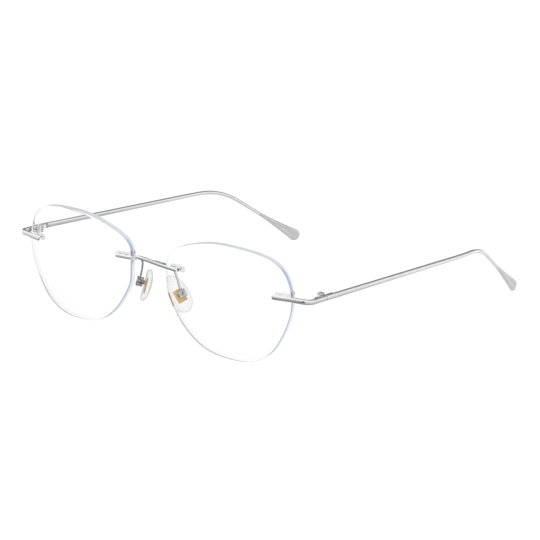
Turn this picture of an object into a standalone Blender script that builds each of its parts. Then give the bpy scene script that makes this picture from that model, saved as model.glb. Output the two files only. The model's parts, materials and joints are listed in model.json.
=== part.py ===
"""Rimless eyeglasses with folding temples, adjustable silicone nose pads and screw hinges.

The wearer looks towards -Y, the wearer's left is +X and the temples run towards +Y. The origin is the
middle of the bounding box's underside: the lenses and the temple tips rest on z = 0. Every left-hand
piece is modelled in place, and its right-hand twin is its reflection in the plane x = 0.
"""

from math import cos, pi, radians, sin, sqrt, tan

import bmesh
import bpy
from mathutils import Matrix, Vector

MM = 0.001
GAP = 0.04 * MM  # clearance kept between touching pieces

# Place of the lens vertices between the front of the bridge and the ends of the tips.
LENS_Y = -71.7 * MM

# Lens, in its own plane: u towards the temple, v up.
LENS_OUTLINE = [(-24.0, -3.1), (-17.2, -12.6), (-7.7, -18.6), (5.8, -19.7), (14.5, -16.9), (20.4, -10.7),
                (24.9, -0.7), (25.2, 7.9), (21.3, 15.1), (12.8, 18.6), (-4.1, 19.4), (-17.7, 16.1),
                (-24.5, 11.5), (-25.2, 3.9)]
OUTLINE_STEPS = 4
LENS_THICK = 2.1 * MM
LENS_RADIUS = 132.0 * MM
LENS_CENTRE_X = 33.25 * MM
LENS_CENTRE_Z = 19.72 * MM
WRAP = radians(4.2)
TILT = radians(4.2)
LENS_GRID = (14, 11)

# The two-pin mounts that hold the bars on the lens.
PIN_PITCH = 2.8 * MM
PIN_R = 0.36 * MM
TUBE_R = 0.72 * MM
PLATE_LENGTH = 6.8 * MM
PLATE_WIDTH = 2.0 * MM
PLATE_THICK = 0.6 * MM
PLATE_BACK = -LENS_THICK - 0.12 * MM  # front of the plate, just behind the lens
PIN_PROUD = 0.08 * MM
TEMPORAL_MOUNT = (22.0, 5.66)
NASAL_MOUNT = (-21.2, 7.6)

# Bars.
BRIDGE_HEIGHT = 1.3 * MM
BRIDGE_THICK = 1.1 * MM
BRIDGE_RISE = 2.0 * MM
BRIDGE_BOW = 3.3 * MM
BRIDGE_LENS_U = (-19.3, -25.2)
ENDPIECE_HEIGHT = 1.75 * MM
ENDPIECE_THICK = 1.2 * MM
ENDPIECE_LENS_U = (19.2, 25.4)
CORNER = Vector((64.75, 5.6, 25.15)) * MM
CORNER_R = 3.6 * MM
SEAM = Vector((64.75, 14.25, 25.25)) * MM
SEAM_GAP = 0.1 * MM

# Temple, from the seam to the end of its wire core.
TEMPLE_HEIGHT = 1.9 * MM
TEMPLE_THICK = 1.2 * MM
TEMPLE_WIRE = 1.3 * MM
TEMPLE_STRAIGHT = 86.0 * MM
BEND_R = 33.0 * MM
BEND = radians(31.2)
TEMPLE_TAIL = 35.3 * MM
TEMPLE_INWARD = radians(1.6)
TEMPLE_SLOPE = radians(0.55)
TAIL_INWARD = radians(11.6)
TURN_REACH = 9.0 * MM
CORE_THICK = 0.7 * MM
CORE_HEIGHT = 0.9 * MM
CORE_CORNER = 0.25 * MM
CORE_SHORT = 3.0 * MM
TIP_LENGTH = 22.5 * MM
TIP_WIDTH = 4.6 * MM
TIP_THICK = 1.6 * MM
TIP_START = 1.4 * MM

# Hinge, inboard of the seam.
HINGE_AXIS = Vector((62.72, 14.1, 25.25)) * MM
KNUCKLE_R = 1.2 * MM
HINGE_HEIGHT = 2.4 * MM
MIDDLE_KNUCKLE = 0.8 * MM
HINGE_PIN_R = 0.5 * MM
HINGE_BORE_R = 0.56 * MM
SCREW_HEAD_R = 0.95 * MM
SCREW_HEAD = 0.3 * MM
LEAF_LENGTH = 4.6 * MM
LEAF_THICK = 0.55 * MM
LEAF_HEIGHT = 1.5 * MM

# Nose pad, its core and the box that holds it.
PAD_TOP = Vector((4.67, 6.5, 22.3)) * MM
PAD_BOTTOM = Vector((10.82, 9.8, 10.6)) * MM
PAD_FACING = Vector((-0.746, 0.630, -0.217))
PAD_OUTLINE = [(0.0, -6.8), (2.7, -5.1), (3.5, -1.4), (3.2, 2.6), (1.9, 5.7),
               (0.0, 6.8), (-1.9, 5.7), (-3.2, 2.6), (-3.5, -1.4), (-2.7, -5.1)]
PAD_LAYERS = [(-0.8, 0.78), (-0.55, 0.92), (0.0, 1.0), (0.55, 0.97), (1.1, 0.84),
              (1.5, 0.62), (1.78, 0.34), (1.9, 0.12)]
CORE_PLATE = Vector((3.2, 4.6, 0.45)) * MM
CORE_CENTRE = Vector((-0.25, -0.75, 0.0)) * MM
STEM = Vector((1.0, 1.1, 2.3)) * MM
BOX_SIZE = Vector((2.5, 2.6, 2.4)) * MM
BOX_WALL = 0.45 * MM
BOX_CENTRE = Vector((-0.95, -0.1, -2.35)) * MM
PAD_SCREW_R = 0.32 * MM
PAD_HEAD_R = 0.62 * MM
PAD_HEAD = 0.45 * MM
ARM_R = 0.42 * MM
ARM_ROUTE = [(3.9, -0.9, 28.6), (4.9, -0.3, 28.3), (5.8, 0.15, 28.1), (6.5, 1.0, 27.8),
             (6.9, 2.4, 27.0), (7.2, 4.2, 26.3), (7.5, 5.6, 25.4), (7.9, 6.2, 24.0), (8.5, 6.6, 22.0)]

SILVER = ((0.78, 0.78, 0.79), 0.14, 1.0)
SATIN = ((0.62, 0.62, 0.62), 0.4, 0.6)
GOLD = ((0.82, 0.60, 0.24), 0.2, 1.0)
CLEAR = ((0.95, 0.96, 0.98), 0.05, 0.0)
SILICONE = ((0.93, 0.93, 0.92), 0.25, 0.0)


# ---------------------------------------------------------------- scene and small helpers

def clear_scene():
    for obj in list(bpy.data.objects):
        bpy.data.objects.remove(obj)


def collection(name):
    made = bpy.data.collections.new(name)
    bpy.context.scene.collection.children.link(made)
    return made


def material(name, look):
    colour, roughness, metallic = look
    made = bpy.data.materials.new(name)
    made.use_nodes = True
    shader = made.node_tree.nodes["Principled BSDF"]
    shader.inputs["Base Color"].default_value = (*colour, 1.0)
    shader.inputs["Roughness"].default_value = roughness
    shader.inputs["Metallic"].default_value = metallic
    return made


def add_object(name, mesh, matrix=None, look=None, group=None):
    obj = bpy.data.objects.new(name, mesh)
    (group or PARTS).objects.link(obj)
    if matrix:
        obj.matrix_world = matrix
    if look:
        mesh.materials.clear()
        mesh.materials.append(look)
    return obj


def mesh_from(bm, name):
    bmesh.ops.recalc_face_normals(bm, faces=bm.faces)
    mesh = bpy.data.meshes.new(name)
    bm.to_mesh(mesh)
    bm.free()
    return mesh


def smooth(obj, angle=radians(32)):
    obj.data.shade_smooth()
    obj.data.set_sharp_from_angle(angle=angle)


def evaluated_mesh(obj):
    bpy.context.view_layer.update()
    graph = bpy.context.evaluated_depsgraph_get()
    return bpy.data.meshes.new_from_object(obj.evaluated_get(graph))


def apply_modifiers(obj):
    obj.data = evaluated_mesh(obj)
    obj.modifiers.clear()
    return obj


def boolean(obj, tools, operation):
    for tool in tools:
        modifier = obj.modifiers.new(operation.lower(), "BOOLEAN")
        modifier.operation = operation
        modifier.solver = "EXACT"
        modifier.object = tool
    return apply_modifiers(obj)


def cutter(name, mesh, matrix):
    obj = add_object(name, mesh, matrix, group=CUTTERS)
    obj.hide_render = True
    obj.display_type = "WIRE"
    return obj


def remove(tools):
    for tool in tools:
        bpy.data.objects.remove(tool)


def mirror_right(obj, name):
    """Makes the right-hand twin: the reflected mesh, under the reflected placement."""
    flip = Matrix.Scale(-1.0, 4, (1, 0, 0))
    mesh = obj.data.copy()
    mesh.transform(flip)
    mesh.flip_normals()
    return add_object(name, mesh, flip @ obj.matrix_world @ flip, obj.data.materials[0])


def pair(build):
    """Builds the left-hand piece and its right-hand twin."""
    left = build()
    return left, mirror_right(left, left.name.replace("_left", "_right"))


# ---------------------------------------------------------------- solids

def box(size, centre=(0, 0, 0)):
    bm = bmesh.new()
    bmesh.ops.create_cube(bm, size=1.0, matrix=Matrix.Translation(centre) @ Matrix.Diagonal((*size, 1.0)))
    return mesh_from(bm, "box")


def cylinder(radius, low, high, sides=16, centre=(0, 0)):
    """An upright cylinder from z = low to z = high."""
    bm = bmesh.new()
    bmesh.ops.create_cone(bm, cap_ends=True, segments=sides, radius1=radius, radius2=radius,
                          depth=high - low, matrix=Matrix.Translation((*centre, (low + high) / 2)))
    return mesh_from(bm, "cylinder")


def prism(points, low, high):
    """A flat outline in x, y raised from z = low to z = high."""
    bm = bmesh.new()
    base = [bm.verts.new((x, y, low)) for x, y in points]
    face = bm.faces.new(base)
    raised = bmesh.ops.extrude_face_region(bm, geom=[face])
    for item in raised["geom"]:
        if isinstance(item, bmesh.types.BMVert):
            item.co.z = high
    return mesh_from(bm, "prism")


def rounded_section(height, thick, corner, steps=2):
    """Points (side, up) round a rectangle with rounded corners."""
    points = []
    for quarter in range(4):
        sx = 1 if quarter in (0, 3) else -1
        sz = 1 if quarter in (0, 1) else -1
        for step in range(steps + 1):
            angle = (quarter + step / steps) * pi / 2
            points.append((sx * (thick / 2 - corner) + corner * cos(angle),
                           sz * (height / 2 - corner) + corner * sin(angle)))
    return points


def loft(name, stations, up=Vector((0, 0, 1)), side_hint=None):
    """Skins closed sections strung along a path. A station is (centre, section)."""
    bm = bmesh.new()
    rings = []
    for index, (centre, section) in enumerate(stations):
        before = stations[max(index - 1, 0)][0]
        after = stations[min(index + 1, len(stations) - 1)][0]
        along = (after - before).normalized()
        side = (side_hint or along.cross(up)).normalized()
        rise = side.cross(along).normalized()
        rings.append([bm.verts.new(centre + side * s + rise * r) for s, r in section])
    count = len(rings[0])
    for low, high in zip(rings, rings[1:]):
        for k in range(count):
            bm.faces.new((low[k], low[(k + 1) % count], high[(k + 1) % count], high[k]))
    bm.faces.new(list(reversed(rings[0])))
    bm.faces.new(rings[-1])
    return mesh_from(bm, name)


def wire(name, points, radius, look, resolution=3):
    """A round wire through the points, as a mesh with welded caps."""
    data = bpy.data.curves.new(name, "CURVE")
    data.dimensions = "3D"
    data.bevel_depth = radius
    data.bevel_resolution = resolution
    data.use_fill_caps = True
    spline = data.splines.new("POLY")
    spline.points.add(len(points) - 1)
    for item, point in zip(spline.points, points):
        item.co = (*point, 1.0)
    guide = add_object(name + "_guide", data)
    mesh = evaluated_mesh(guide)
    remove([guide])
    bm = bmesh.new()
    bm.from_mesh(mesh)
    bmesh.ops.remove_doubles(bm, verts=bm.verts, dist=1e-6)
    return add_object(name, mesh_from(bm, name), look=look)


def spline_point(points, index, s, closed):
    """Catmull-Rom interpolation between points[index] and the next one."""
    count = len(points)
    if closed:
        p = [Vector(points[(index + k) % count]) for k in (-1, 0, 1, 2)]
    else:
        p = [Vector(points[min(max(index + k, 0), count - 1)]) for k in (-1, 0, 1, 2)]
    return 0.5 * (2 * p[1] + (p[2] - p[0]) * s + (2 * p[0] - 5 * p[1] + 4 * p[2] - p[3]) * s * s
                  + (3 * p[1] - p[0] - 3 * p[2] + p[3]) * s ** 3)


def smooth_path(points, steps, closed=False):
    spans = len(points) if closed else len(points) - 1
    path = [spline_point(points, i, k / steps, closed) for i in range(spans) for k in range(steps)]
    if not closed:
        path.append(Vector(points[-1]))
    return path


# ---------------------------------------------------------------- lens frame

def lens_matrix():
    """Takes lens coordinates (u, depth, v) into place: tilted, wrapped, then set off the nose."""
    place = Matrix.Translation((LENS_CENTRE_X, LENS_Y, LENS_CENTRE_Z))
    return place @ Matrix.Rotation(WRAP, 4, "Z") @ Matrix.Rotation(TILT, 4, "X")


def sag(u, v):
    return LENS_RADIUS - sqrt(LENS_RADIUS ** 2 - u * u - v * v)


def lens_normal(u, v):
    """Points away from the wearer."""
    return Vector((u, -(LENS_RADIUS - sag(u, v)), v)) / LENS_RADIUS


def on_lens(u, v, off=0.0):
    """A point off the front surface, in place. u and v are in metres."""
    local = Vector((u, sag(u, v), v)) + off * lens_normal(u, v)
    return lens_matrix() @ local


def mount_matrix(mount):
    """A frame on the front surface at a mount: x along the lens, z out of it, y up or down."""
    u, v = mount[0] * MM, mount[1] * MM
    place = lens_matrix()
    out = (place.to_3x3() @ lens_normal(u, v)).normalized()
    along = (on_lens(u + MM, v) - on_lens(u - MM, v)).normalized()
    return frame_matrix(on_lens(u, v), along, out)


def frame_matrix(origin, x_axis, z_axis):
    z = z_axis.normalized()
    x = (x_axis - z * x_axis.dot(z)).normalized()
    y = z.cross(x)
    return Matrix.Translation(origin) @ Matrix((x, y, z)).transposed().to_4x4()


# ---------------------------------------------------------------- lens and its mounts

def pin_places():
    return (-PIN_PITCH / 2, PIN_PITCH / 2)


def lens_left():
    bm = bmesh.new()
    bmesh.ops.create_grid(bm, x_segments=LENS_GRID[0], y_segments=LENS_GRID[1], size=1.0)
    for vert in bm.verts:
        u, v = vert.co.x * 28 * MM, vert.co.y * 22 * MM
        vert.co = (u, sag(u, v), v)
    for face in bm.faces:
        face.normal_update()
        if face.normal.y > 0:
            face.normal_flip()
    mesh = bpy.data.meshes.new("lens_left")
    bm.to_mesh(mesh)
    bm.free()
    lens = add_object("lens_left", mesh, lens_matrix(), GLASS)
    shell = lens.modifiers.new("thickness", "SOLIDIFY")
    shell.thickness = LENS_THICK
    shell.offset = -1.0
    apply_modifiers(lens)
    outline = [(p.x * MM, p.y * MM) for p in smooth_path(LENS_OUTLINE, OUTLINE_STEPS, closed=True)]
    blank = prism(outline, -20 * MM, 20 * MM)
    upright = Matrix(((1, 0, 0, 0), (0, 0, -1, 0), (0, 1, 0, 0), (0, 0, 0, 1)))
    tools = [cutter("outline", blank, lens_matrix() @ upright)]
    boolean(lens, tools, "INTERSECT")
    remove(tools)
    holes = []
    for mount in (TEMPORAL_MOUNT, NASAL_MOUNT):
        for x in pin_places():
            hole = cylinder(TUBE_R + GAP, -4 * MM, 2 * MM, 14, (x, 0))
            holes.append(cutter("hole", hole, mount_matrix(mount)))
    boolean(lens, holes, "DIFFERENCE")
    remove(holes)
    smooth(lens)
    return lens


def bush(name, mount):
    """A plate behind the lens with two tubes that line its holes and grip the pins."""
    half = (PLATE_LENGTH - PLATE_WIDTH) / 2
    outline = []
    for step in range(14):
        angle = -pi / 2 + pi * (step if step < 7 else step - 1) / 6
        shift = half if step < 7 else -half
        outline.append((shift + PLATE_WIDTH / 2 * cos(angle), PLATE_WIDTH / 2 * sin(angle)))
    frame = mount_matrix(mount)
    plate = add_object(name, prism(outline, PLATE_BACK - PLATE_THICK, PLATE_BACK), frame, CLEAR_PLASTIC)
    tubes = [cutter("tube", cylinder(TUBE_R, PLATE_BACK - PLATE_THICK / 2, -GAP / 2, 14, (x, 0)), frame)
             for x in pin_places()]
    boolean(plate, tubes, "UNION")
    remove(tubes)
    bores = [cutter("bore", cylinder(PIN_R + GAP, -2 * LENS_THICK, LENS_THICK, 12, (x, 0)), frame)
             for x in pin_places()]
    boolean(plate, bores, "DIFFERENCE")
    remove(bores)
    smooth(plate)
    return plate


def pin(name, mount, x):
    """A mount pin, brazed to the back of its bar."""
    mesh = cylinder(PIN_R, PLATE_BACK - PLATE_THICK, PIN_PROUD, 12, (x, 0))
    made = add_object(name, mesh, mount_matrix(mount), STEEL)
    smooth(made)
    return made


# ---------------------------------------------------------------- bars

def bar_offset(thick):
    """From the lens surface to the middle of a bar that lies on its pins."""
    return PIN_PROUD + GAP + thick / 2


def tapered_end(section, share):
    return [(s * share, r * share) for s, r in section]


def ease(s):
    return s * s * (3 - 2 * s)


def bridge_bar():
    """Lies on both lenses and arches up and forward between them."""
    off = bar_offset(BRIDGE_THICK)
    start, edge = (u * MM for u in BRIDGE_LENS_U)
    v = NASAL_MOUNT[1] * MM
    half = [on_lens(start + (edge - start) * k / 5, v, off) for k in range(6)]
    rim = half[-1]
    for k in range(1, 9):
        share = k / 8
        half.append(Vector((rim.x * (1 - share), rim.y - BRIDGE_BOW * ease(share),
                            rim.z + BRIDGE_RISE * ease(share))))
    other = [Vector((-p.x, p.y, p.z)) for p in reversed(half[:-1])]
    path = half + other
    section = rounded_section(BRIDGE_HEIGHT, BRIDGE_THICK, 0.42 * MM)
    stations = [(p, section) for p in path]
    round_ends(stations)
    bar = add_object("bridge_bar", loft("bridge_bar", stations), look=STEEL)
    smooth(bar, radians(40))
    return bar


def round_ends(stations, reach=0.25 * MM, first=True, last=True):
    """Adds a narrower station beyond an end, so that the bar's end has a soft edge."""
    if first:
        (a, section), (b, _) = stations[0], stations[1]
        stations.insert(0, (a + (a - b).normalized() * reach, tapered_end(section, 0.62)))
    if last:
        (a, section), (b, _) = stations[-1], stations[-2]
        stations.append((a + (a - b).normalized() * reach, tapered_end(section, 0.62)))


def endpiece_path():
    """Along the lens, round the corner and back to the seam."""
    off = bar_offset(ENDPIECE_THICK)
    inner, edge = (u * MM for u in ENDPIECE_LENS_U)
    v = TEMPORAL_MOUNT[1] * MM
    path = [on_lens(inner + (edge - inner) * k / 4, v, off) for k in range(5)]
    corner = CORNER + Vector((0, LENS_Y, 0))
    seam = SEAM + Vector((0, LENS_Y - SEAM_GAP / 2, 0))
    into = (corner - path[-1]).normalized()
    out = (seam - corner).normalized()
    turn = into.angle(out)
    reach = CORNER_R * tan(turn / 2)
    first, last = corner - into * reach, corner + out * reach
    for k in range(9):
        s = k / 8
        path.append((1 - s) ** 2 * first + 2 * s * (1 - s) * corner + s * s * last)
    path += [last.lerp(seam, 0.5), seam]
    return path


def endpiece_left():
    path = endpiece_path()
    section = rounded_section(ENDPIECE_HEIGHT, ENDPIECE_THICK, 0.36 * MM)
    stations = [(p, section) for p in path]
    round_ends(stations, last=False)
    bar = add_object("endpiece_left", loft("endpiece_left", stations), look=STEEL)
    smooth(bar, radians(40))
    return bar


# ---------------------------------------------------------------- temple and its tip

def soft_turn(past):
    """Nothing before a turn and the distance past it after, rounded over the turn's reach."""
    if past <= -TURN_REACH:
        return 0.0
    if past >= TURN_REACH:
        return past
    return (past + TURN_REACH) ** 2 / (4 * TURN_REACH)


def temple_point(s):
    """The middle of the temple at the distance s from the seam."""
    arc = BEND_R * BEND
    along, drop = s, 0.0
    if s > TEMPLE_STRAIGHT:
        turned = min(s - TEMPLE_STRAIGHT, arc) / BEND_R
        rest = max(s - TEMPLE_STRAIGHT - arc, 0.0)
        along = TEMPLE_STRAIGHT + BEND_R * sin(turned) + rest * cos(BEND)
        drop = BEND_R * (1 - cos(turned)) + rest * sin(BEND)
    start = SEAM + Vector((0, LENS_Y + SEAM_GAP / 2, 0))
    y = along * cos(TEMPLE_SLOPE) - drop * sin(TEMPLE_SLOPE)
    z = -along * sin(TEMPLE_SLOPE) - drop * cos(TEMPLE_SLOPE)
    x = -sin(TEMPLE_INWARD) * along - tan(TAIL_INWARD) * soft_turn(along - TEMPLE_STRAIGHT)
    return start + Vector((x, y, z))


TEMPLE_LENGTH = TEMPLE_STRAIGHT + BEND_R * BEND + TEMPLE_TAIL
TIP_FROM = TEMPLE_LENGTH - TIP_LENGTH


def temple_section(s):
    """Flat near the hinge, nearly round before the tip, then a flat core inside it."""
    if s > TIP_FROM:
        return rounded_section(CORE_HEIGHT, CORE_THICK, CORE_CORNER)
    share = s / TIP_FROM
    height = TEMPLE_HEIGHT + (TEMPLE_WIRE - TEMPLE_HEIGHT) * share
    thick = TEMPLE_THICK + (TEMPLE_WIRE - TEMPLE_THICK) * share
    return rounded_section(height, thick, min(height, thick) * (0.3 + 0.17 * share))


def temple_stations():
    plain = [k * (TEMPLE_STRAIGHT - TURN_REACH) / 5 for k in range(6)]
    plain += [TEMPLE_STRAIGHT - TURN_REACH * k / 4 for k in (3, 2, 1, 0)]
    arc = BEND_R * BEND
    bent = [TEMPLE_STRAIGHT + arc * k / 8 for k in range(1, 9)]
    tail = [TIP_FROM - 6 * MM, TIP_FROM - GAP]
    core = [TIP_FROM + 1e-6, TIP_FROM + 8 * MM, TEMPLE_LENGTH - CORE_SHORT]
    stops = plain + [s for s in bent if s < TIP_FROM - 7 * MM] + tail + core
    return [(temple_point(s), temple_section(s)) for s in stops]


def temple_left():
    temple = add_object("temple_left", loft("temple_left", temple_stations()), look=STEEL)
    smooth(temple, radians(40))
    return temple


def rounded_off(share, start):
    """Falls from 1 at the start to 0 at the end, as a quarter of an ellipse does."""
    if share <= start:
        return 1.0
    return sqrt(max(1.0 - ((share - start) / (1.0 - start)) ** 2, 0.0))


def tip_edges(share):
    """Heights of the upper and lower edges: a flare to a paddle with a nearly square end."""
    flare = min(max((share - 0.06) / 0.86, 0.0), 1.0) ** 1.3
    half = (TIP_START + (TIP_WIDTH - TIP_START) * flare) / 2
    upper = half * (0.3 + 0.7 * rounded_off(share, 0.91))
    lower = -half * rounded_off(share, 0.86)
    return upper, lower


def tip_left():
    """A moulded cover with a bore for the temple's core."""
    shares = [0.0, 0.1, 0.22, 0.34, 0.46, 0.58, 0.7, 0.8, 0.86, 0.91, 0.95, 0.975, 0.99, 1.0]
    stations = []
    for share in shares:
        upper, lower = tip_edges(share)
        thick = TIP_START + (TIP_THICK - TIP_START) * min(share * 3, 1.0)
        thick *= 0.45 + 0.55 * rounded_off(share, 0.95)
        corner = 0.46 * min(thick, upper - lower)
        section = [(side, rise + (upper + lower) / 2)
                   for side, rise in rounded_section(upper - lower, thick, corner)]
        stations.append((temple_point(TIP_FROM + share * TIP_LENGTH), section))
    tip = add_object("temple_tip_left", loft("temple_tip_left", stations), look=TIP_METAL)
    stops = [TIP_FROM - 3 * MM, TIP_FROM + 8 * MM, TEMPLE_LENGTH - CORE_SHORT + GAP]
    bore = rounded_section(CORE_HEIGHT + 2 * GAP, CORE_THICK + 2 * GAP, CORE_CORNER + GAP)
    tools = [cutter("core", loft("core", [(temple_point(s), bore) for s in stops]), Matrix.Identity(4))]
    boolean(tip, tools, "DIFFERENCE")
    remove(tools)
    smooth(tip, radians(40))
    return tip


# ---------------------------------------------------------------- hinge

def hinge_matrix():
    return Matrix.Translation(HINGE_AXIS + Vector((0, LENS_Y, 0)))


def knuckle(low, high):
    return cylinder(KNUCKLE_R, low, high, 20)


def leaf(toward):
    """The plate brazed to the bar's inner face, clear of the knuckles' sweep."""
    inner_face = SEAM.x - ENDPIECE_THICK / 2 - HINGE_AXIS.x - GAP
    near = KNUCKLE_R + 0.1 * MM
    centre = (inner_face - LEAF_THICK / 2, toward * (near + LEAF_LENGTH) / 2, 0)
    return box((LEAF_THICK, LEAF_LENGTH - near, LEAF_HEIGHT), centre)


def hinge_leaf(name, toward, spans, reach, turn=0.0):
    """One half of the hinge: knuckles, a web each, and the leaf that joins them."""
    frame = hinge_matrix() @ Matrix.Rotation(turn, 4, "Z")
    half = add_object(name, leaf(toward), frame, STEEL)
    joined = []
    for span in spans:
        joined.append(cutter("knuckle", knuckle(*span), frame))
        web = box((KNUCKLE_R + 0.1 * MM, reach, span[1] - span[0]),
                  (KNUCKLE_R / 2 + 0.05 * MM, toward * reach / 2, (span[0] + span[1]) / 2))
        joined.append(cutter("web", web, frame))
    boolean(half, joined, "UNION")
    remove(joined)
    bore = [cutter("bore", cylinder(HINGE_BORE_R, -3 * MM, 3 * MM, 16), frame)]
    boolean(half, bore, "DIFFERENCE")
    remove(bore)
    smooth(half)
    return half


def hinge_front_left():
    """Two knuckles, fixed to the endpiece."""
    gap = MIDDLE_KNUCKLE / 2 + GAP
    spans = [(gap, HINGE_HEIGHT / 2), (-HINGE_HEIGHT / 2, -gap)]
    return hinge_leaf("hinge_front_left", -1, spans, 1.9 * MM)


def hinge_rear_left():
    """One knuckle between the other two, fixed to the temple."""
    span = (-MIDDLE_KNUCKLE / 2, MIDDLE_KNUCKLE / 2)
    return hinge_leaf("hinge_rear_left", 1, [span], 1.9 * MM, TEMPLE_INWARD)


def hinge_screw_left():
    """Passes down through the three knuckles, with a slotted head on the top one."""
    frame = hinge_matrix()
    top = HINGE_HEIGHT / 2 + GAP
    shank = cylinder(HINGE_PIN_R, -HINGE_HEIGHT / 2, top + SCREW_HEAD / 2, 16)
    screw = add_object("hinge_screw_left", shank, frame, STEEL)
    head = [cutter("head", cylinder(SCREW_HEAD_R, top, top + SCREW_HEAD, 20), frame)]
    boolean(screw, head, "UNION")
    remove(head)
    slot = box((3 * MM, 0.25 * MM, 0.36 * MM), (0, 0, top + SCREW_HEAD))
    tools = [cutter("slot", slot, frame @ Matrix.Rotation(radians(35), 4, "Z"))]
    boolean(screw, tools, "DIFFERENCE")
    remove(tools)
    smooth(screw)
    return screw


# ---------------------------------------------------------------- nose pads

def pad_matrix():
    """Pad frame: y up the pad, z towards the nose, x across it."""
    up = PAD_TOP - PAD_BOTTOM
    middle = (PAD_TOP + PAD_BOTTOM) / 2 + Vector((0, LENS_Y, 0))
    z = (PAD_FACING - up.normalized() * PAD_FACING.dot(up.normalized())).normalized()
    x = up.cross(z).normalized()
    return frame_matrix(middle, x, z)


def core_size(grow):
    return CORE_PLATE + Vector((2 * grow, 2 * grow, 2 * grow))


def core_solids(grow):
    """The plate inside the pad and the stem that leaves its back, each grown by a clearance."""
    plate = box(core_size(grow), CORE_CENTRE)
    size = STEM + Vector((2 * grow, 2 * grow, 0))
    stem = box(size, (BOX_CENTRE.x, BOX_CENTRE.y, CORE_CENTRE.z - size.z / 2))
    return plate, stem


def nose_pad_left():
    """Soft pad: flat at the back, crowned towards the nose, hollow round its core."""
    outline = [Vector((x, y)) * MM for x, y in PAD_OUTLINE]
    ring = smooth_path(outline, 3, closed=True)
    stations = [(Vector((0, 0, z * MM)), [(p.x * k, p.y * k) for p in ring]) for z, k in PAD_LAYERS]
    mesh = loft("nose_pad_left", stations, side_hint=Vector((1, 0, 0)))
    pad = add_object("nose_pad_left", mesh, pad_matrix(), SOFT)
    tools = [cutter("core", solid, pad_matrix()) for solid in core_solids(GAP)]
    boolean(pad, tools, "DIFFERENCE")
    remove(tools)
    smooth(pad, radians(50))
    return pad


def nose_pad_core_left():
    plate, stem = core_solids(0.0)
    core = add_object("nose_pad_core_left", plate, pad_matrix(), GOLD_METAL)
    tools = [cutter("stem", stem, pad_matrix())]
    boolean(core, tools, "UNION")
    remove(tools)
    bore = cylinder(PAD_SCREW_R + 0.05 * MM, -3 * MM, 3 * MM, 12)
    tools = [cutter("bore", bore, pad_screw_matrix())]
    boolean(core, tools, "DIFFERENCE")
    remove(tools)
    return core


def pad_screw_matrix():
    """On the rocking axis: z runs across the pad, from the far wall of the box to its screw head."""
    frame = pad_matrix()
    across = frame.to_3x3() @ Vector((1, 0, 0))
    facing = frame.to_3x3() @ Vector((0, 0, 1))
    return frame_matrix(frame @ BOX_CENTRE, facing, across)


def nose_pad_box_left():
    """A cup open towards the pad, bored across for its screw and slotted for the arm."""
    frame = pad_matrix()
    cup = add_object("nose_pad_box_left", box(BOX_SIZE, BOX_CENTRE), frame, STEEL)
    hollow = Vector((BOX_SIZE.x - 2 * BOX_WALL, BOX_SIZE.y - 2 * BOX_WALL, BOX_SIZE.z))
    tools = [cutter("hollow", box(hollow, BOX_CENTRE + Vector((0, 0, BOX_WALL))), frame)]
    bore = cylinder(PAD_SCREW_R + GAP, -3 * MM, 3 * MM, 12)
    tools.append(cutter("bore", bore, pad_screw_matrix()))
    boolean(cup, tools, "DIFFERENCE")
    remove(tools)
    edges = cup.modifiers.new("edges", "BEVEL")
    edges.width = 0.12 * MM
    edges.segments = 1
    edges.limit_method = "ANGLE"
    edges.angle_limit = radians(60)
    apply_modifiers(cup)
    smooth(cup)
    return cup


def nose_pad_screw_left():
    frame = pad_screw_matrix()
    end = BOX_SIZE.x / 2
    shank = cylinder(PAD_SCREW_R, -end, end + GAP + 0.1 * MM, 12)
    screw = add_object("nose_pad_screw_left", shank, frame, STEEL)
    tools = [cutter("head", cylinder(PAD_HEAD_R, end + GAP, end + GAP + PAD_HEAD, 16), frame)]
    boolean(screw, tools, "UNION")
    remove(tools)
    slot = box((2 * MM, 0.2 * MM, 0.4 * MM), (0, 0, end + GAP + PAD_HEAD))
    tools = [cutter("slot", slot, frame)]
    boolean(screw, tools, "DIFFERENCE")
    remove(tools)
    smooth(screw)
    return screw


def arm_end():
    """Where the arm's wire meets the top of the box."""
    top = BOX_CENTRE + Vector((0, BOX_SIZE.y / 2 + GAP, -0.25 * MM))
    return pad_matrix() @ top


def nose_pad_arm_left():
    route = [Vector(p) * MM + Vector((0, LENS_Y, 0)) for p in ARM_ROUTE]
    path = smooth_path(route + [arm_end()], 3)
    arm = wire("nose_pad_arm_left", path, ARM_R, STEEL, 2)
    smooth(arm, radians(50))
    return arm


# ---------------------------------------------------------------- assembly

def pivot(name, matrix, children):
    """An empty on a joint's axis, which carries the pieces that turn about it."""
    empty = bpy.data.objects.new(name, None)
    PARTS.objects.link(empty)
    empty.matrix_world = matrix
    bpy.context.view_layer.update()
    for child in children:
        child.parent = empty
        child.matrix_parent_inverse = matrix.inverted()
    return empty


def mirrored(matrix):
    flip = Matrix.Scale(-1.0, 4, (1, 0, 0))
    return flip @ matrix @ flip


def build_mounts():
    for place, mount in (("temporal", TEMPORAL_MOUNT), ("nasal", NASAL_MOUNT)):
        pair(lambda: bush(f"lens_bush_{place}_left", mount))
        for number, x in enumerate(pin_places(), 1):
            pair(lambda: pin(f"mount_pin_{place}_{number}_left", mount, x))


def build():
    bridge_bar()
    pair(lens_left)
    build_mounts()
    pair(endpiece_left)
    pair(hinge_front_left)
    pair(nose_pad_arm_left)
    pair(nose_pad_box_left)
    pair(nose_pad_screw_left)
    pair(hinge_screw_left)
    temples = [pair(temple_left), pair(tip_left), pair(hinge_rear_left)]
    pads = [pair(nose_pad_left), pair(nose_pad_core_left)]
    for index, side in enumerate(("left", "right")):
        placed = mirrored if side == "right" else Matrix
        pivot(f"temple_hinge_{side}", placed(hinge_matrix()), [piece[index] for piece in temples])
        pivot(f"nose_pad_pivot_{side}", placed(pad_screw_matrix()), [piece[index] for piece in pads])


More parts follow.
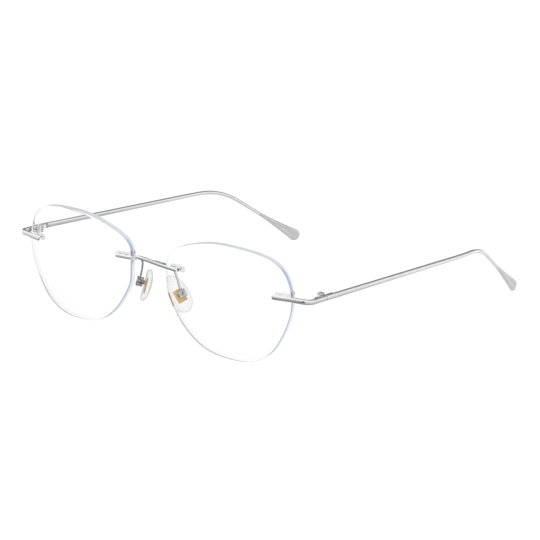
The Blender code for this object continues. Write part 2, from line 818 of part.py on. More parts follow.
clear_scene()
PARTS = collection("eyeglasses")
CUTTERS = collection("cutters")
STEEL = material("polished_steel", SILVER)
TIP_METAL = material("satin_tip", SATIN)
GOLD_METAL = material("gold", GOLD)
GLASS = material("lens", CLEAR)
CLEAR_PLASTIC = material("clear_plastic", CLEAR)
SOFT = material("silicone", SILICONE)
build()
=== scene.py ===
"""Rimless eyeglasses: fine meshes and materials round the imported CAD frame, in a white studio.

Each left-hand piece is built in place from the CAD's own dimensions and stands for the CAD node whose name
it bears. Its right-hand twin is its mirror image in the plane x = 0. Lengths are in metres unless a value is
multiplied by MM. The wearer looks towards -Y, and the wearer's left is +X.
"""

import json
from math import cos, pi, radians, sin, sqrt, tan

import bmesh
import bpy
from mathutils import Matrix, Vector


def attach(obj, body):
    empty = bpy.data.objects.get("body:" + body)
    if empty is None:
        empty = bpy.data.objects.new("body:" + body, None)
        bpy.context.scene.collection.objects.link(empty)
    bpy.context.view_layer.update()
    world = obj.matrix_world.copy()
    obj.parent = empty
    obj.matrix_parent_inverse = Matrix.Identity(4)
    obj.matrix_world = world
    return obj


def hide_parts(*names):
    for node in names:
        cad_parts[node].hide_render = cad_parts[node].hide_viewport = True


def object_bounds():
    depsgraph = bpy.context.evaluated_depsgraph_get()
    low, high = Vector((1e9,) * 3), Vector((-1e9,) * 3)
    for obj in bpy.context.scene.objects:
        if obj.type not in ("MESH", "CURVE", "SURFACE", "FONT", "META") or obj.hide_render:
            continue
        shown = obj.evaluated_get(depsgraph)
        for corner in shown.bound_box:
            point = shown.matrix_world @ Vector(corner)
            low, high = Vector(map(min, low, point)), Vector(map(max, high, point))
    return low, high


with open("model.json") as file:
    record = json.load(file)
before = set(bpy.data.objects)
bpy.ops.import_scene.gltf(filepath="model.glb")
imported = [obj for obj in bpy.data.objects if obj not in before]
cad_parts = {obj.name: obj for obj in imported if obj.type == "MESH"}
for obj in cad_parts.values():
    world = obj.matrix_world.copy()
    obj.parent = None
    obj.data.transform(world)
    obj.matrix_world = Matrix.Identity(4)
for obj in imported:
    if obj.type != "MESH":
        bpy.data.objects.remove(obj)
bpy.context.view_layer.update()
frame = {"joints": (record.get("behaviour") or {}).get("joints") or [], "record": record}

MM = 0.001
GAP = 0.04 * MM

# ---------------------------------------------------------------- dimensions, as in the CAD

LENS_Y = -71.7 * MM
LENS_OUTLINE = [(-24.0, -3.1), (-17.2, -12.6), (-7.7, -18.6), (5.8, -19.7), (14.5, -16.9), (20.4, -10.7),
                (24.9, -0.7), (25.2, 7.9), (21.3, 15.1), (12.8, 18.6), (-4.1, 19.4), (-17.7, 16.1),
                (-24.5, 11.5), (-25.2, 3.9)]
LENS_THICK = 2.1 * MM
LENS_RADIUS = 132.0 * MM
LENS_CENTRE_X = 33.25 * MM
LENS_CENTRE_Z = 19.72 * MM
WRAP = radians(4.2)
TILT = radians(4.2)
LENS_BEVEL = 0.14 * MM

PIN_PITCH = 2.8 * MM
PIN_R = 0.36 * MM
TUBE_R = 0.72 * MM
PLATE_LENGTH = 6.8 * MM
PLATE_WIDTH = 2.0 * MM
PLATE_THICK = 0.6 * MM
PLATE_BACK = -LENS_THICK - 0.12 * MM
PIN_PROUD = 0.08 * MM
MOUNTS = {"temporal": (22.0, 5.66), "nasal": (-21.2, 7.6)}

BRIDGE_HEIGHT = 1.3 * MM
BRIDGE_THICK = 1.1 * MM
BRIDGE_RISE = 2.0 * MM
BRIDGE_BOW = 3.3 * MM
BRIDGE_LENS_U = (-19.3, -25.2)
BRIDGE_CORNER = 0.42 * MM
ENDPIECE_HEIGHT = 1.75 * MM
ENDPIECE_THICK = 1.2 * MM
ENDPIECE_LENS_U = (19.2, 25.4)
ENDPIECE_CORNER = 0.36 * MM
CORNER = Vector((64.75, 5.6, 25.15)) * MM
CORNER_R = 3.6 * MM
SEAM = Vector((64.75, 14.25, 25.25)) * MM
SEAM_GAP = 0.1 * MM
BAR_CROWN = 0.1 * MM
GRAIN_DEPTH = 0.01 * MM

TEMPLE_HEIGHT = 1.9 * MM
TEMPLE_THICK = 1.2 * MM
TEMPLE_WIRE = 1.3 * MM
TEMPLE_STRAIGHT = 86.0 * MM
BEND_R = 33.0 * MM
BEND = radians(31.2)
TEMPLE_TAIL = 35.3 * MM
TEMPLE_INWARD = radians(1.6)
TEMPLE_SLOPE = radians(0.55)
TAIL_INWARD = radians(11.6)
TURN_REACH = 9.0 * MM
CORE_THICK = 0.7 * MM
CORE_HEIGHT = 0.9 * MM
CORE_CORNER = 0.25 * MM
CORE_SHORT = 3.0 * MM
TIP_LENGTH = 22.5 * MM
TIP_WIDTH = 4.6 * MM
TIP_THICK = 1.6 * MM
TIP_START = 1.34 * MM
TEMPLE_LENGTH = TEMPLE_STRAIGHT + BEND_R * BEND + TEMPLE_TAIL
TIP_FROM = TEMPLE_LENGTH - TIP_LENGTH

KNUCKLE_R = 1.2 * MM
HINGE_HEIGHT = 2.4 * MM
MIDDLE_KNUCKLE = 0.8 * MM
HINGE_PIN_R = 0.5 * MM
HINGE_BORE_R = 0.56 * MM
SCREW_HEAD_R = 0.95 * MM
SCREW_HEAD = 0.3 * MM
LEAF_LENGTH = 4.6 * MM
LEAF_THICK = 0.55 * MM
LEAF_HEIGHT = 1.5 * MM
WEB_REACH = 1.9 * MM

PAD_TOP = Vector((4.67, 6.5, 22.3)) * MM
PAD_BOTTOM = Vector((10.82, 9.8, 10.6)) * MM
PAD_FACING = Vector((-0.746, 0.630, -0.217))
PAD_OUTLINE = [(0.0, -6.8), (2.7, -5.1), (3.5, -1.4), (3.2, 2.6), (1.9, 5.7),
               (0.0, 6.8), (-1.9, 5.7), (-3.2, 2.6), (-3.5, -1.4), (-2.7, -5.1)]
PAD_LAYERS = [(-0.40, 0.58), (-0.41, 0.66), (-0.50, 0.71), (-0.68, 0.745), (-0.80, 0.79), (-0.82, 0.85),
              (-0.76, 0.90), (-0.58, 0.945), (-0.36, 0.975), (-0.1, 0.995), (0.15, 1.0), (0.4, 0.985),
              (0.65, 0.955), (0.9, 0.905), (1.12, 0.84), (1.32, 0.75), (1.5, 0.64), (1.64, 0.52),
              (1.75, 0.39), (1.84, 0.25), (1.9, 0.1)]
CORE_PLATE = Vector((3.2, 4.6, 0.45)) * MM
CORE_CENTRE = Vector((-0.25, -0.75, 0.0)) * MM
STEM = Vector((1.0, 1.1, 2.3)) * MM
BOX_SIZE = Vector((2.5, 2.6, 2.4)) * MM
BOX_WALL = 0.45 * MM
BOX_CENTRE = Vector((-0.95, -0.1, -2.35)) * MM
PAD_SCREW_R = 0.32 * MM
PAD_HEAD_R = 0.62 * MM
PAD_HEAD = 0.45 * MM
# Layers of the pad's rolled rim, which take the darker silicone with painted shade.
PAD_RIM_LAYERS = range(2, 12)
ARM_R = 0.36 * MM
ARM_ROUTE = [(3.9, -0.9, 28.6), (4.9, -0.3, 28.3), (5.8, 0.15, 28.1), (6.5, 1.0, 27.8),
             (6.9, 2.4, 27.0), (7.2, 4.2, 26.3), (7.5, 5.6, 25.4), (7.9, 6.2, 24.0), (8.5, 6.6, 22.0)]

JOINTS = {joint["name"]: joint for joint in frame["joints"]}
HINGE_AXIS = Vector(JOINTS["temple_fold_left"]["pos_m"])
BODIES = {node: body for body, nodes in frame["record"]["behaviour"]["bodies"].items() for node in nodes}

# ---------------------------------------------------------------- camera and studio

VIEW_AZIMUTH = radians(38.511)
VIEW_ELEVATION = radians(14.872)
VIEW_ROLL = radians(2.101)
VIEW_DISTANCE = 795.88 * MM
VIEW_TARGET = Vector((52.424, -71.7, 34.827)) * MM
VIEW_LENS = 164.81
FLOOR_HALF = 4.0
FLOOR_DROP = 0.2 * MM
# Painted shadow on the floor, seen only in reflections: darkest round this point under the frame's front,
# fading out by 0.2 m.
FLOOR_SHADOW_CENTRE = (0.0, -0.085, 0.0)
FLOOR_SHADOW_SHADES = [(0.04, (0.22, 0.22, 0.22)), (0.2, (0.95, 0.95, 0.95))]
# Painted dark reflection: a dark strip on the floor, seen only in reflections, where the endpiece corners
# mirror it.
DARK_REFLECTION_ACROSS = (0.96, 0.28, 0.0)
DARK_REFLECTION_OFFSET = 41.0 * MM
DARK_REFLECTION_HALF = (10.0 * MM, 40.0 * MM)
DARK_REFLECTION_START = (-125.0 * MM, -145.0 * MM)
CEILING_TOWARD = (0.0, 0.8, 1.0)
CEILING_SPAN = (0.85, 1.05)
CEILING_STRENGTH = 0.85
PANEL_TOWARD = (-0.62, 0.78, 0.0)
PANEL_SPAN = (0.72, 0.9)
FLOOR_WHITE = (1.05, 1.05, 1.05)
WORLD_WHITE = (1.05, 1.05, 1.05)
WORLD_DARK = (0.19, 0.19, 0.195)
# Colour of the painted dark reflection strip on the floor.
DARK_REFLECTION_COLOUR = (0.08, 0.08, 0.085)


# ---------------------------------------------------------------- small helpers

def add_object(name, mesh, matrix=None):
    obj = bpy.data.objects.new(name, mesh)
    bpy.context.scene.collection.objects.link(obj)
    if matrix:
        obj.matrix_world = matrix
    return obj


def mesh_from(bm, name):
    bmesh.ops.recalc_face_normals(bm, faces=bm.faces)
    mesh = bpy.data.meshes.new(name)
    bm.to_mesh(mesh)
    bm.free()
    return mesh


def smooth(obj, angle=radians(35)):
    obj.data.shade_smooth()
    obj.data.set_sharp_from_angle(angle=angle)
    return obj


def apply_modifiers(obj):
    bpy.context.view_layer.update()
    graph = bpy.context.evaluated_depsgraph_get()
    mesh = bpy.data.meshes.new_from_object(obj.evaluated_get(graph))
    obj.modifiers.clear()
    obj.data = mesh
    return obj


def boolean(obj, tools, operation):
    """Cuts or joins, then removes the tools."""
    for tool in tools:
        modifier = obj.modifiers.new("boolean", "BOOLEAN")
        modifier.operation = operation
        modifier.solver = "EXACT"
        modifier.object = tool
    apply_modifiers(obj)
    for tool in tools:
        bpy.data.objects.remove(tool)
    return obj


def bevel(obj, width, segments=2, angle=radians(38)):
    modifier = obj.modifiers.new("bevel", "BEVEL")
    modifier.width = width
    modifier.segments = segments
    modifier.limit_method = "ANGLE"
    modifier.angle_limit = angle
    modifier.use_clamp_overlap = True
    return apply_modifiers(obj)


def place_in_world(obj):
    """Moves the placement into the mesh, so that the twin is a plain reflection of it."""
    obj.data.transform(obj.matrix_world)
    obj.matrix_world = Matrix.Identity(4)
    return obj


def dress(obj, node, slot, *looks):
    """Gives a finished piece its looks, and hides the CAD node it stands for."""
    if len(looks) != len(obj.data.materials):
        obj.data.materials.clear()
        for look in looks:
            obj.data.materials.append(look)
    if node in BODIES:
        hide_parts(node)


def pair(make, node, slot, *looks, body=None):
    """Finishes a left-hand piece and its mirrored right-hand twin."""
    left = place_in_world(make())
    mesh = left.data.copy()
    mesh.transform(Matrix.Scale(-1.0, 4, (1, 0, 0)))
    mesh.flip_normals()
    for side, piece in (("left", left), ("right", add_object("twin", mesh))):
        piece.name = f"fine_{node}_{side}"
        dress(piece, f"{node}_{side}", slot, *looks)
        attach(piece, f"{body}_{side}" if body else BODIES[f"{node}_{side}"])


# ---------------------------------------------------------------- shapes

def box(size, centre=(0, 0, 0)):
    bm = bmesh.new()
    bmesh.ops.create_cube(bm, size=1.0, matrix=Matrix.Translation(centre) @ Matrix.Diagonal((*size, 1.0)))
    return mesh_from(bm, "box")


def turned(profile, sides=40, centre=(0, 0)):
    """A turned solid round z from a profile of (radius, height), closed at both ends."""
    bm = bmesh.new()
    rings = []
    for radius, height in profile:
        rings.append([bm.verts.new((centre[0] + radius * cos(2 * pi * k / sides),
                                    centre[1] + radius * sin(2 * pi * k / sides), height))
                      for k in range(sides)])
    skin(bm, rings)
    return mesh_from(bm, "turned")


def drum(radius, low, high, soft, centre=(0, 0), sides=40):
    """A turned cylinder with rounded rims."""
    steps = 4
    profile = []
    for k in range(steps + 1):
        angle = pi / 2 * k / steps
        profile.append((radius - soft + soft * sin(angle), low + soft - soft * cos(angle)))
    for k in range(steps + 1):
        angle = pi / 2 * k / steps
        profile.append((radius - soft + soft * cos(angle), high - soft + soft * sin(angle)))
    return turned(profile, sides, centre)


def skin(bm, rings):
    """Faces between neighbouring rings, and one across each end."""
    count = len(rings[0])
    for low, high in zip(rings, rings[1:]):
        for k in range(count):
            bm.faces.new((low[k], low[(k + 1) % count], high[(k + 1) % count], high[k]))
    bm.faces.new(list(reversed(rings[0])))
    bm.faces.new(rings[-1])


def rounded_section(height, thick, corner, crown=0.0):
    """Points (side, up) round a rectangle with rounded corners, whose upright sides may be crowned."""
    steps = 6
    corner = min(corner, 0.49 * height, 0.49 * thick)
    points = []
    for quarter in range(4):
        sx = 1 if quarter in (0, 3) else -1
        sz = 1 if quarter in (0, 1) else -1
        for step in range(steps + 1):
            angle = (quarter + step / steps) * pi / 2
            points.append((sx * (thick / 2 - corner) + corner * cos(angle),
                           sz * (height / 2 - corner) + corner * sin(angle)))
        if quarter in (1, 3):
            edge = sz * (height / 2 - corner)
            points += [(sx * thick / 2, edge * (1 - k / 4)) for k in range(1, 8)]
    return [(s - (crown if s > 0 else -crown) * (2 * r / height) ** 2, r) for s, r in points]


def loft(name, stations):
    """Skins closed sections strung along a path. A station is (centre, section)."""
    bm = bmesh.new()
    rings = []
    for index, (centre, section) in enumerate(stations):
        before = stations[max(index - 1, 0)][0]
        after = stations[min(index + 1, len(stations) - 1)][0]
        along = (after - before).normalized()
        side = along.cross(Vector((0, 0, 1))).normalized()
        rise = side.cross(along).normalized()
        rings.append([bm.verts.new(centre + side * s + rise * r) for s, r in section])
    skin(bm, rings)
    return mesh_from(bm, name)


def bar(path, section_at, first=(0.1 * MM, 0.1 * MM), last=(0.1 * MM, 0.1 * MM)):
    """A bar along the path with filleted ends. section_at gives the section's dimensions at a point's index.

    first and last are the fillet's reach in height and in thickness at each end.
    """
    steps = 6
    head = (path[0] - path[1]).normalized()
    tail = (path[-1] - path[-2]).normalized()
    stations = []
    for k in range(steps, 0, -1):
        angle = pi / 2 * k / steps * 0.92
        height, thick, *rest = section_at(0)
        cut_h, cut_t = (2 * reach * (1 - cos(angle)) for reach in first)
        stations.append((path[0] - head * first[0] * (1 - sin(angle)),
                         rounded_section(height - cut_h, thick - cut_t, *rest)))
    inner = [k for k, point in enumerate(path)
             if (point - path[0]).length > first[0] and (point - path[-1]).length > last[0]]
    start = path[0] - head * first[0]
    end = path[-1] - tail * last[0]
    stations.append((start, rounded_section(*section_at(0))))
    stations += [(path[k], rounded_section(*section_at(k))) for k in inner]
    stations.append((end, rounded_section(*section_at(len(path) - 1))))
    for k in range(1, steps + 1):
        angle = pi / 2 * k / steps * 0.92
        height, thick, *rest = section_at(len(path) - 1)
        cut_h, cut_t = (2 * reach * (1 - cos(angle)) for reach in last)
        stations.append((end + tail * last[0] * sin(angle),
                         rounded_section(height - cut_h, thick - cut_t, *rest)))
    return stations


def spline_point(points, index, s, closed):
    """Catmull-Rom interpolation between points[index] and the next one."""
    count = len(points)
    if closed:
        p = [Vector(points[(index + k) % count]) for k in (-1, 0, 1, 2)]
    else:
        p = [Vector(points[min(max(index + k, 0), count - 1)]) for k in (-1, 0, 1, 2)]
    return 0.5 * (2 * p[1] + (p[2] - p[0]) * s + (2 * p[0] - 5 * p[1] + 4 * p[2] - p[3]) * s * s
                  + (3 * p[1] - p[0] - 3 * p[2] + p[3]) * s ** 3)


def smooth_path(points, steps, closed=False):
    spans = len(points) if closed else len(points) - 1
    path = [spline_point(points, i, k / steps, closed) for i in range(spans) for k in range(steps)]
    if not closed:
        path.append(Vector(points[-1]))
    return path


def frame_matrix(origin, x_axis, z_axis):
    z = z_axis.normalized()
    x = (x_axis - z * x_axis.dot(z)).normalized()
    y = z.cross(x)
    return Matrix.Translation(origin) @ Matrix((x, y, z)).transposed().to_4x4()


def ease(s):
    return s * s * (3 - 2 * s)


# ---------------------------------------------------------------- lens

def lens_matrix():
    place = Matrix.Translation((LENS_CENTRE_X, LENS_Y, LENS_CENTRE_Z))
    return place @ Matrix.Rotation(WRAP, 4, "Z") @ Matrix.Rotation(TILT, 4, "X")


def sag(u, v, radius=LENS_RADIUS):
    return radius - sqrt(radius ** 2 - u * u - v * v)


def lens_normal(u, v):
    return Vector((u, -(LENS_RADIUS - sag(u, v)), v)) / LENS_RADIUS


def on_lens(u, v, off=0.0):
    return lens_matrix() @ (Vector((u, sag(u, v), v)) + off * lens_normal(u, v))


def mount_matrix(mount):
    """A frame on the front surface at a mount: x along the lens, z out of it."""
    u, v = mount[0] * MM, mount[1] * MM
    out = (lens_matrix().to_3x3() @ lens_normal(u, v)).normalized()
    along = (on_lens(u + MM, v) - on_lens(u - MM, v)).normalized()
    return frame_matrix(on_lens(u, v), along, out)


def pin_places():
    return (-PIN_PITCH / 2, PIN_PITCH / 2)


def lens():
    """Front and back spheres joined by a polished edge with a small safety bevel at both rims."""
    outline = [p * MM for p in smooth_path(LENS_OUTLINE, 13, closed=True)]
    shares = [0.12, 0.25, 0.38, 0.5, 0.62, 0.73, 0.83, 0.91, 0.965]
    back_radius = LENS_RADIUS - LENS_THICK

    def front(p):
        return p.x, sag(p.x, p.y), p.y

    def back(p):
        return p.x, LENS_THICK + sag(p.x, p.y, back_radius), p.y

    def shift(place, p, depth):
        x, y, z = place(p)
        return x, y + depth, z

    bm = bmesh.new()

    def ring(place, share=1.0, inset=0.0, depth=0.0):
        points = [p * (share - inset / p.length) for p in outline]
        return [bm.verts.new(shift(place, p, depth)) for p in points]

    rings = [ring(front, share) for share in shares]
    rings.append(ring(front, inset=LENS_BEVEL))
    edge_from = len(rings)
    rings.append(ring(front, inset=0.3 * LENS_BEVEL, depth=0.3 * LENS_BEVEL))
    rings.append(ring(front, depth=LENS_BEVEL))
    rings.append(ring(back, depth=-LENS_BEVEL))
    rings.append(ring(back, inset=0.3 * LENS_BEVEL, depth=-0.3 * LENS_BEVEL))
    edge_to = len(rings)
    rings.append(ring(back, inset=LENS_BEVEL))
    rings += [ring(back, share) for share in reversed(shares)]
    count = len(outline)
    for index, (low, high) in enumerate(zip(rings, rings[1:])):
        for k in range(count):
            face = bm.faces.new((low[k], low[(k + 1) % count], high[(k + 1) % count], high[k]))
            face.material_index = 1 if edge_from - 1 <= index < edge_to else 0
    for rim, place in ((rings[0], front), (rings[-1], back)):
        middle = bm.verts.new(place(Vector((0.0, 0.0))))
        for k in range(count):
            bm.faces.new((rim[k], rim[(k + 1) % count], middle))
    made = add_object("lens", mesh_from(bm, "lens"), lens_matrix())
    holes = []
    for mount in MOUNTS.values():
        for x in pin_places():
            hole = drum(TUBE_R + GAP, -4 * MM, 2 * MM, 0.1 * MM, (x, 0), 32)
            holes.append(add_object("hole", hole, mount_matrix(mount)))
    for piece in [made] + holes:
        for look in LENS_LOOKS:
            piece.data.materials.append(look)
    for hole in holes:
        for face in hole.data.polygons:
            face.material_index = LENS_LOOKS.index(LENS_BORE)
    boolean(made, holes, "DIFFERENCE")
    return smooth(made, radians(30))


# ---------------------------------------------------------------- lens mounts

def bush(mount):
    """A plate behind the lens with two tubes that line its holes and grip the pins."""
    half = (PLATE_LENGTH - PLATE_WIDTH) / 2
    turns = 14
    outline = []
    for step in range(2 * turns):
        angle = -pi / 2 + pi * (step if step < turns else step - 1) / (turns - 1)
        shift = half if step < turns else -half
        outline.append((shift + PLATE_WIDTH / 2 * cos(angle), PLATE_WIDTH / 2 * sin(angle)))
    layers = [(0.0, 0.14), (0.06, 0.04), (0.18, 0.0), (0.42, 0.0), (0.54, 0.04), (0.6, 0.14)]
    bm = bmesh.new()
    rings = []
    for depth, inset in layers:
        share = 1 - 2 * inset * MM / PLATE_WIDTH
        rings.append([bm.verts.new(((x - (half if x > 0 else -half)) * share + (half if x > 0 else -half),
                                    y * share, PLATE_BACK - depth * MM)) for x, y in outline])
    skin(bm, rings)
    plate = add_object("bush", mesh_from(bm, "bush"), mount_matrix(mount))
    tubes = [add_object("tube", drum(TUBE_R, PLATE_BACK - PLATE_THICK / 2, -GAP / 2, 0.05 * MM, (x, 0)),
                        mount_matrix(mount)) for x in pin_places()]
    boolean(plate, tubes, "UNION")
    bores = [add_object("bore", drum(PIN_R + GAP, -2 * LENS_THICK, LENS_THICK, 0.02 * MM, (x, 0), 28),
                        mount_matrix(mount)) for x in pin_places()]
    boolean(plate, bores, "DIFFERENCE")
    return smooth(plate)


def mount_pin(mount, x):
    """A pin with a domed end behind the bush."""
    back = PLATE_BACK - PLATE_THICK
    profile = [(0.1 * PIN_R, back), (0.55 * PIN_R, back + 0.03 * MM), (0.85 * PIN_R, back + 0.1 * MM),
               (PIN_R, back + 0.24 * MM), (PIN_R, PIN_PROUD - 0.03 * MM), (0.9 * PIN_R, PIN_PROUD)]
    return smooth(add_object("pin", turned(profile, 28, (x, 0)), mount_matrix(mount)))


# ---------------------------------------------------------------- bars

def bar_offset(thick):
    return PIN_PROUD + GAP + thick / 2


def bridge_path():
    off = bar_offset(BRIDGE_THICK)
    start, edge = (u * MM for u in BRIDGE_LENS_U)
    v = MOUNTS["nasal"][1] * MM
    half = [on_lens(start - 0.25 * MM + (edge - start + 0.25 * MM) * k / 14, v, off) for k in range(15)]
    rim = half[-1]
    for k in range(1, 31):
        share = k / 30
        half.append(Vector((rim.x * (1 - share), rim.y - BRIDGE_BOW * ease(share),
                            rim.z + BRIDGE_RISE * ease(share))))
    return half + [Vector((-p.x, p.y, p.z)) for p in reversed(half[:-1])]


def bridge_bar():
    path = bridge_path()
    ends = (0.42 * MM, 0.3 * MM)
    stations = bar(path, lambda k: (BRIDGE_HEIGHT, BRIDGE_THICK, BRIDGE_CORNER), ends, ends)
    return smooth(add_object("fine_bridge_bar", loft("bridge", stations)), radians(45))


def endpiece():
    off = bar_offset(ENDPIECE_THICK)
    inner, edge = (u * MM for u in ENDPIECE_LENS_U)
    v = MOUNTS["temporal"][1] * MM
    path = [on_lens(inner - 0.25 * MM + (edge - inner + 0.25 * MM) * k / 12, v, off) for k in range(13)]
    corner = CORNER + Vector((0, LENS_Y, 0))
    seam = SEAM + Vector((0, LENS_Y - SEAM_GAP / 2, 0))
    into = (corner - path[-1]).normalized()
    out = (seam - corner).normalized()
    reach = CORNER_R * tan(into.angle(out) / 2)
    first, last = corner - into * reach, corner + out * reach
    for k in range(31):
        s = k / 30
        path.append((1 - s) ** 2 * first + 2 * s * (1 - s) * corner + s * s * last)
    path += [last.lerp(seam, k / 6) for k in range(1, 7)]
    stations = bar(path, lambda k: (ENDPIECE_HEIGHT, ENDPIECE_THICK, ENDPIECE_CORNER, BAR_CROWN),
                   (0.6 * MM, 0.3 * MM), (0.06 * MM, 0.06 * MM))
    return smooth(add_object("endpiece", loft("endpiece", stations)), radians(45))


# ---------------------------------------------------------------- temple and its tip

def soft_turn(past):
    if past <= -TURN_REACH:
        return 0.0
    if past >= TURN_REACH:
        return past
    return (past + TURN_REACH) ** 2 / (4 * TURN_REACH)


def temple_point(s):
    """The middle of the temple at the distance s from the seam."""
    arc = BEND_R * BEND
    along, drop = s, 0.0
    if s > TEMPLE_STRAIGHT:
        turned_by = min(s - TEMPLE_STRAIGHT, arc) / BEND_R
        rest = max(s - TEMPLE_STRAIGHT - arc, 0.0)
        along = TEMPLE_STRAIGHT + BEND_R * sin(turned_by) + rest * cos(BEND)
        drop = BEND_R * (1 - cos(turned_by)) + rest * sin(BEND)
    start = SEAM + Vector((0, LENS_Y + SEAM_GAP / 2, 0))
    y = along * cos(TEMPLE_SLOPE) - drop * sin(TEMPLE_SLOPE)
    z = -along * sin(TEMPLE_SLOPE) - drop * cos(TEMPLE_SLOPE)
    x = -sin(TEMPLE_INWARD) * along - tan(TAIL_INWARD) * soft_turn(along - TEMPLE_STRAIGHT)
    return start + Vector((x, y, z))


def temple():
    """Flat near the hinge and nearly round before the tip, with a thin core inside the tip."""
    count = 90
    path = [temple_point((TIP_FROM - GAP) * k / count) for k in range(count + 1)]

    def section_at(k):
        share = k / count
        height = TEMPLE_HEIGHT + (TEMPLE_WIRE - TEMPLE_HEIGHT) * share
        thick = TEMPLE_THICK + (TEMPLE_WIRE - TEMPLE_THICK) * share
        return height, thick, min(height, thick) * (0.3 + 0.17 * share), BAR_CROWN * (1 - share)

    soft = 0.06 * MM
    stations = bar(path, section_at, (soft, soft), (soft, soft))
    core = rounded_section(CORE_HEIGHT, CORE_THICK, CORE_CORNER)
    stations += [(temple_point(TIP_FROM + step * MM), core) for step in (0.02, 2, 4, 6, 8)]
    stations.append((temple_point(TEMPLE_LENGTH - CORE_SHORT), core))
    return smooth(add_object("temple", loft("temple", stations)), radians(45))


def rounded_off(share, start):
    if share <= start:
        return 1.0
    return sqrt(max(1.0 - ((share - start) / (1.0 - start)) ** 2, 0.0))


def tip_edges(share):
    flare = min(max((share - 0.06) / 0.86, 0.0), 1.0) ** 1.3
    half = (TIP_START + (TIP_WIDTH - TIP_START) * flare) / 2
    upper = half * (0.3 + 0.7 * rounded_off(share, 0.91))
    lower = -half * rounded_off(share, 0.86)
    return upper, lower


def tip_section(share):
    """A rounded section whose two broad faces are dished along their middle."""
    upper, lower = tip_edges(share)
    thick = TIP_START + (TIP_THICK - TIP_START) * min(share * 3, 1.0)
    thick *= 0.45 + 0.55 * rounded_off(share, 0.95)
    height = upper - lower
    middle = (upper + lower) / 2
    depth = 0.26 * MM * ease(min(max((share - 0.3) / 0.3, 0.0), 1.0)) * rounded_off(share, 0.8)
    points = []
    sides = 48
    for k in range(sides):
        angle = 2 * pi * (k + 0.5) / sides
        c, s = cos(angle), sin(angle)
        side = thick / 2 * (abs(c) ** 0.62) * (1 if c > 0 else -1)
        rise = height / 2 * (abs(s) ** 0.8) * (1 if s > 0 else -1)
        inner = max(1 - (rise / (0.34 * height)) ** 2, 0.0) ** 2
        side -= depth * inner * (1 if c > 0 else -1)
        points.append((side, rise + middle))
    return points


def tip():
    """A moulded cover with a bore for the temple's core."""
    count = 64
    shares = [k / count for k in range(count)] + [0.992, 0.997, 1.0]
    stations = [(temple_point(TIP_FROM + share * TIP_LENGTH), tip_section(share)) for share in shares]
    cover = add_object("tip", loft("tip", stations))
    stops = [TIP_FROM - 3 * MM] + [TIP_FROM + k * 2 * MM for k in range(1, 9)]
    stops.append(TEMPLE_LENGTH - CORE_SHORT + GAP)
    bore = rounded_section(CORE_HEIGHT + 2 * GAP, CORE_THICK + 2 * GAP, CORE_CORNER + GAP)
    core = loft("core", [(temple_point(s), bore) for s in stops])
    boolean(cover, [add_object("core", core)], "DIFFERENCE")
    return smooth(cover, radians(45))


# ---------------------------------------------------------------- hinge

def hinge_half(toward, spans, turn=0.0):
    """Knuckles, a web each, and the leaf that joins them to the bar."""
    place = Matrix.Translation(HINGE_AXIS) @ Matrix.Rotation(turn, 4, "Z")
    inner_face = SEAM.x - ENDPIECE_THICK / 2 - HINGE_AXIS.x - GAP
    near = KNUCKLE_R + 0.1 * MM
    leaf = box((LEAF_THICK, LEAF_LENGTH - near, LEAF_HEIGHT),
               (inner_face - LEAF_THICK / 2, toward * (near + LEAF_LENGTH) / 2, 0))
    half = add_object("hinge", leaf, place)
    joined = []
    for low, high in spans:
        joined.append(add_object("knuckle", drum(KNUCKLE_R, low, high, 0.06 * MM, sides=48), place))
        web = box((KNUCKLE_R + 0.1 * MM, WEB_REACH, high - low - 0.04 * MM),
                  (KNUCKLE_R / 2 + 0.05 * MM, toward * WEB_REACH / 2, (low + high) / 2))
        joined.append(add_object("web", web, place))
    boolean(half, joined, "UNION")
    bore = drum(HINGE_BORE_R, -3 * MM, 3 * MM, 0.02 * MM, sides=36)
    boolean(half, [add_object("bore", bore, place)], "DIFFERENCE")
    bevel(half, 0.05 * MM, 2, radians(50))
    return smooth(half)


def hinge_front():
    gap = MIDDLE_KNUCKLE / 2 + GAP
    return hinge_half(-1, [(gap, HINGE_HEIGHT / 2), (-HINGE_HEIGHT / 2, -gap)])


def hinge_rear():
    return hinge_half(1, [(-MIDDLE_KNUCKLE / 2, MIDDLE_KNUCKLE / 2)], TEMPLE_INWARD)


def slotted_screw(shank_r, head_r, low, under, head, slot_width, turn, place):
    """A shank with a slotted, slightly domed head, turned in one piece."""
    profile = [(shank_r * 0.8, low), (shank_r, low + 0.06 * MM), (shank_r, under),
               (head_r * 0.97, under), (head_r, under + 0.05 * MM),
               (head_r, under + head * 0.6), (head_r * 0.94, under + head * 0.8),
               (head_r * 0.8, under + head * 0.93), (head_r * 0.3, under + head)]
    screw = add_object("screw", turned(profile, 40), place)
    slot = box((4 * head_r, slot_width, head * 0.9), (0, 0, under + head))
    boolean(screw, [add_object("slot", slot, place @ Matrix.Rotation(turn, 4, "Z"))], "DIFFERENCE")
    return smooth(screw)


def hinge_screw():
    place = Matrix.Translation(HINGE_AXIS)
    return slotted_screw(HINGE_PIN_R, SCREW_HEAD_R, -HINGE_HEIGHT / 2, HINGE_HEIGHT / 2 + GAP, SCREW_HEAD,
                         0.25 * MM, radians(35), place)


# ---------------------------------------------------------------- nose pads

def pad_matrix():
    """Pad frame: y up the pad, z towards the nose, x across it."""
    up = PAD_TOP - PAD_BOTTOM
    middle = (PAD_TOP + PAD_BOTTOM) / 2 + Vector((0, LENS_Y, 0))
    z = (PAD_FACING - up.normalized() * PAD_FACING.dot(up.normalized())).normalized()
    return frame_matrix(middle, up.cross(z).normalized(), z)


def pad_screw_matrix():
    place = pad_matrix()
    across = place.to_3x3() @ Vector((1, 0, 0))
    facing = place.to_3x3() @ Vector((0, 0, 1))
    return frame_matrix(place @ BOX_CENTRE, facing, across)


